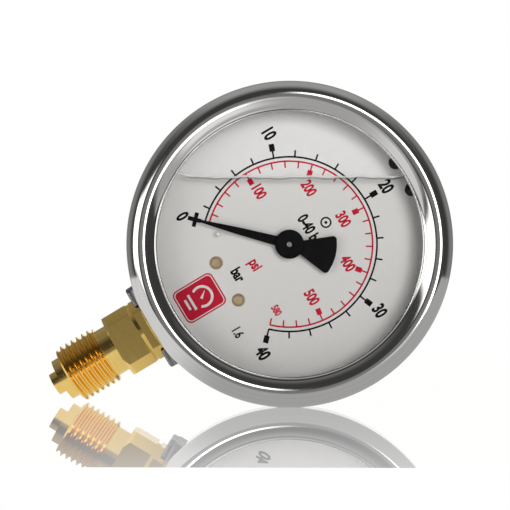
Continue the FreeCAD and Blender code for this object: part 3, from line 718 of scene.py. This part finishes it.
def ramp(tree, value, start, end):
    """0 before start and 1 after end, with a smooth step between."""
    node = tree.nodes.new("ShaderNodeMapRange")
    node.interpolation_type = "SMOOTHSTEP"
    node.inputs["From Min"].default_value = start
    node.inputs["From Max"].default_value = end
    tree.links.new(value, node.inputs["Value"])
    return node.outputs["Result"]


def towards(off_axis, turn):
    """A direction so many degrees off the camera's side, turned so far round the picture."""
    a = math.radians(off_axis)
    t = math.radians(turn)
    return FRONT * math.cos(a) + (RIGHT * math.cos(t) + UP * math.sin(t)) * math.sin(a)


# Off-axis and turn of the middle, half length, half width and soft edge in degrees, then strength.
CARDS = [
    (43, 176, 19, 11, 3, 2.2),
    (30, 300, 21, 9, 8, 1.0),
    (105, 90, 40, 40, 20, 0.40),
]


def add_card(tree, ray, off_axis, turn, half_along, half_across, soft, strength):
    """A soft-edged rectangle of light in the sky."""
    centre = towards(off_axis, turn)
    along = (towards(off_axis + 1, turn) - towards(off_axis - 1, turn)).normalized()
    across = centre.cross(along)
    inside = ramp(tree, dot(tree, ray, centre), 0.2, 0.3)
    for axis, half in ((along, half_along), (across, half_across)):
        far = calc(tree, "ABSOLUTE", dot(tree, ray, axis))
        reach = math.sin(math.radians(half))
        edge = math.sin(math.radians(soft))
        inside = calc(tree, "MULTIPLY", inside, ramp(tree, far, reach + edge, reach - edge))
    return calc(tree, "MULTIPLY", inside, strength)


def add_arc_light(tree, ray, inner, outer, first, last, strength):
    """A curved light round the camera's side, between two angles off axis and two turns."""
    front = dot(tree, ray, FRONT)

    def within(angle):
        return ramp(tree, front, math.cos(math.radians(angle + 2)), math.cos(math.radians(angle - 2)))

    band = calc(tree, "SUBTRACT", within(outer), within(inner))
    for side in (first + 90, last - 90):
        band = calc(tree, "MULTIPLY", band, ramp(tree, dot(tree, ray, towards(90, side)), -0.04, 0.10))
    return calc(tree, "MULTIPLY", band, strength)


# Angles off axis of the inner and outer edge, first and last turn in degrees, then strength.
ARC_LIGHT = (15, 27, -74, 88, 5.0)
ROOM_LIGHT = 0.05        # strength of the dark room in front
REAR_LIGHT = 0.20        # added behind
FLOOR_LIGHT = 0.46
CAMERA_LIGHT = 0.22      # straight in front, round the camera


def make_world():
    """The studio that the parts are lit by. The camera sees plain white in its place."""
    world = bpy.data.worlds.new("studio")
    bpy.context.scene.world = world
    world.use_nodes = True
    tree = world.node_tree
    nodes, links = tree.nodes, tree.links
    ray = nodes.new("ShaderNodeTexCoord").outputs["Generated"]
    front = dot(tree, ray, FRONT)
    upward = dot(tree, ray, UP)
    # A dark room in front, grey behind, a light floor, and white straight behind.
    rear = calc(tree, "MULTIPLY", ramp(tree, front, 0.4, -0.3), REAR_LIGHT)
    level = calc(tree, "ADD", rear, ROOM_LIGHT)
    floor = calc(tree, "MULTIPLY", ramp(tree, upward, -0.16, -0.32), FLOOR_LIGHT)
    level = calc(tree, "MAXIMUM", level, floor)
    level = calc(tree, "MAXIMUM", level, ramp(tree, front, -0.90, -0.97))
    core = calc(tree, "MULTIPLY", ramp(tree, front, 0.95, 0.985), CAMERA_LIGHT)
    level = calc(tree, "MAXIMUM", level, core)
    level = calc(tree, "MAXIMUM", level, add_arc_light(tree, ray, *ARC_LIGHT))
    for card in CARDS:
        level = calc(tree, "MAXIMUM", level, add_card(tree, ray, *card))
    seen = nodes.new("ShaderNodeBackground")
    seen.inputs["Color"].default_value = (1, 1, 1, 1)
    studio = nodes.new("ShaderNodeBackground")
    studio.inputs["Color"].default_value = (1, 0.995, 0.985, 1)
    links.new(level, studio.inputs["Strength"])
    mix = nodes.new("ShaderNodeMixShader")
    links.new(nodes.new("ShaderNodeLightPath").outputs["Is Camera Ray"], mix.inputs[0])
    links.new(studio.outputs[0], mix.inputs[1])
    links.new(seen.outputs[0], mix.inputs[2])
    links.new(mix.outputs[0], nodes["World Output"].inputs["Surface"])
    world.cycles.sampling_method = "MANUAL"
    world.cycles.sample_map_resolution = 1024


TABLE_FRONT = 0.111      # metres from the dial to the table's near edge
TABLE_LIGHT = 0.46       # how bright the parts see the table
TABLE_REACH = 0.16       # metres to each side and to the back


STEM_SIDE_LIGHT = 0.35   # painted light added on the table under the connection
PATCH_LIGHT = 0.5        # painted light added on a patch in front, on the other side
TABLE_GLOSS = 0.85       # at a grazing angle


def make_floor():
    """A white table under the rim, seen only from above it.

    The camera sees it white. It glows instead of being lit: everything else sees it greyer, with two
    pools of light painted into the glow, and it mirrors only at a grazing angle.
    """
    material, tree, shader = new_material("table_white")
    nodes, links = tree.nodes, tree.links
    nodes.remove(shader)
    white = nodes.new("ShaderNodeEmission")
    seen = nodes.new("ShaderNodeLightPath").outputs["Is Camera Ray"]
    split = nodes.new("ShaderNodeSeparateXYZ")
    links.new(nodes.new("ShaderNodeTexCoord").outputs["Object"], split.inputs[0])
    aside, deep = split.outputs[0], split.outputs[1]
    # Two pools of light painted into the table's glow: under the connection and on a patch in front.
    painted_stem_glow = calc(tree, "MULTIPLY", ramp(tree, aside, -0.015, -0.040), STEM_SIDE_LIGHT)
    painted_patch_glow = calc(tree, "MULTIPLY", ramp(tree, aside, 0.0, 0.015), ramp(tree, aside, 0.050, 0.030))
    painted_patch_glow = calc(tree, "MULTIPLY", painted_patch_glow, ramp(tree, deep, -0.045, -0.070))
    glow = calc(tree, "ADD", painted_stem_glow, calc(tree, "MULTIPLY", painted_patch_glow, PATCH_LIGHT))
    glow = calc(tree, "ADD", glow, TABLE_LIGHT)
    links.new(calc(tree, "MAXIMUM", seen, glow), white.inputs["Strength"])
    gloss = nodes.new("ShaderNodeBsdfGlossy")
    gloss.inputs["Color"].default_value = (1, 1, 1, 1)
    grain = add_grain(tree, (40, 40, 40))
    links.new(mapped(tree, grain, 0.0, 0.01), gloss.inputs["Roughness"])
    shine = nodes.new("ShaderNodeMixShader")
    graze = nodes.new("ShaderNodeLayerWeight").outputs["Facing"]
    mirrored = calc(tree, "MULTIPLY", ramp(tree, graze, 0.80, 0.93), TABLE_GLOSS)
    links.new(mirrored, shine.inputs[0])
    links.new(white.outputs[0], shine.inputs[1])
    links.new(gloss.outputs[0], shine.inputs[2])
    through = nodes.new("ShaderNodeBsdfTransparent")
    back = nodes.new("ShaderNodeNewGeometry").outputs["Backfacing"]
    show = nodes.new("ShaderNodeMixShader")
    links.new(back, show.inputs[0])
    links.new(shine.outputs[0], show.inputs[1])
    links.new(through.outputs[0], show.inputs[2])
    links.new(show.outputs[0], nodes["Material Output"].inputs["Surface"])
    bm = bmesh.new()
    corners = [(-TABLE_REACH, -TABLE_FRONT), (TABLE_REACH, -TABLE_FRONT),
               (TABLE_REACH, TABLE_REACH), (-TABLE_REACH, TABLE_REACH)]
    bm.faces.new([bm.verts.new((x, y, 0)) for x, y in corners])
    mesh = bpy.data.meshes.new("table")
    bm.to_mesh(mesh)
    bm.free()
    mesh.materials.append(material)
    table = bpy.data.objects.new("table", mesh)
    bpy.context.scene.collection.objects.link(table)
    axes = Matrix((RIGHT, -FRONT, UP)).transposed()
    under_rim = on_dial(0, 0, DIAL_FRONT) - UP * RIM_RADIUS * MM
    table.matrix_world = Matrix.Translation(under_rim) @ axes.to_4x4()


FILL_SIZE = 0.30         # metres
FILL_DISTANCE = 0.60
FILL_POWER = 1.25        # watts


def make_fill():
    """A large soft lamp beside the camera. It lights the dial and isn't seen in the metal."""
    lamp = bpy.data.lights.new("fill", "AREA")
    lamp.shape = "DISK"
    lamp.size = FILL_SIZE
    lamp.energy = FILL_POWER
    fill = bpy.data.objects.new("fill", lamp)
    bpy.context.scene.collection.objects.link(fill)
    target = on_dial(0, 0, DIAL_FRONT)
    away = (FRONT + RIGHT * 0.35 + UP * 0.15).normalized()
    turn = away.to_track_quat("Z", "Y").to_matrix().to_4x4()
    fill.matrix_world = Matrix.Translation(target + away * FILL_DISTANCE) @ turn
    fill.visible_glossy = False
    fill.visible_camera = False


CAMERA_DISTANCE = 0.400  # metres, from the dial
LENS = 133.0             # mm
AIM_LEFT = 7.324         # mm from the dial's centre
AIM_DOWN = 2.294


def make_camera():
    dial_centre = on_dial(0, 0, DIAL_FRONT)
    aim = dial_centre - RIGHT * AIM_LEFT * MM - UP * AIM_DOWN * MM
    place = dial_centre + FRONT * CAMERA_DISTANCE
    back = (place - aim).normalized()
    side = UP.cross(back).normalized()
    over = back.cross(side)
    lens = bpy.data.cameras.new("camera")
    lens.lens = LENS
    lens.sensor_width = 36
    lens.clip_start = 0.01
    camera = bpy.data.objects.new("camera", lens)
    bpy.context.scene.collection.objects.link(camera)
    turn = Matrix((side, over, back)).transposed()
    camera.matrix_world = Matrix.Translation(place) @ turn.to_4x4()
    bpy.context.scene.camera = camera


make_bezel()
make_bourdon_tube()
make_scales()
make_numerals()
make_emblem()
make_ring_mark()
make_liquid_edge()
make_world()
make_floor()
make_fill()
make_camera()
bpy.context.scene.view_settings.view_transform = "Standard"
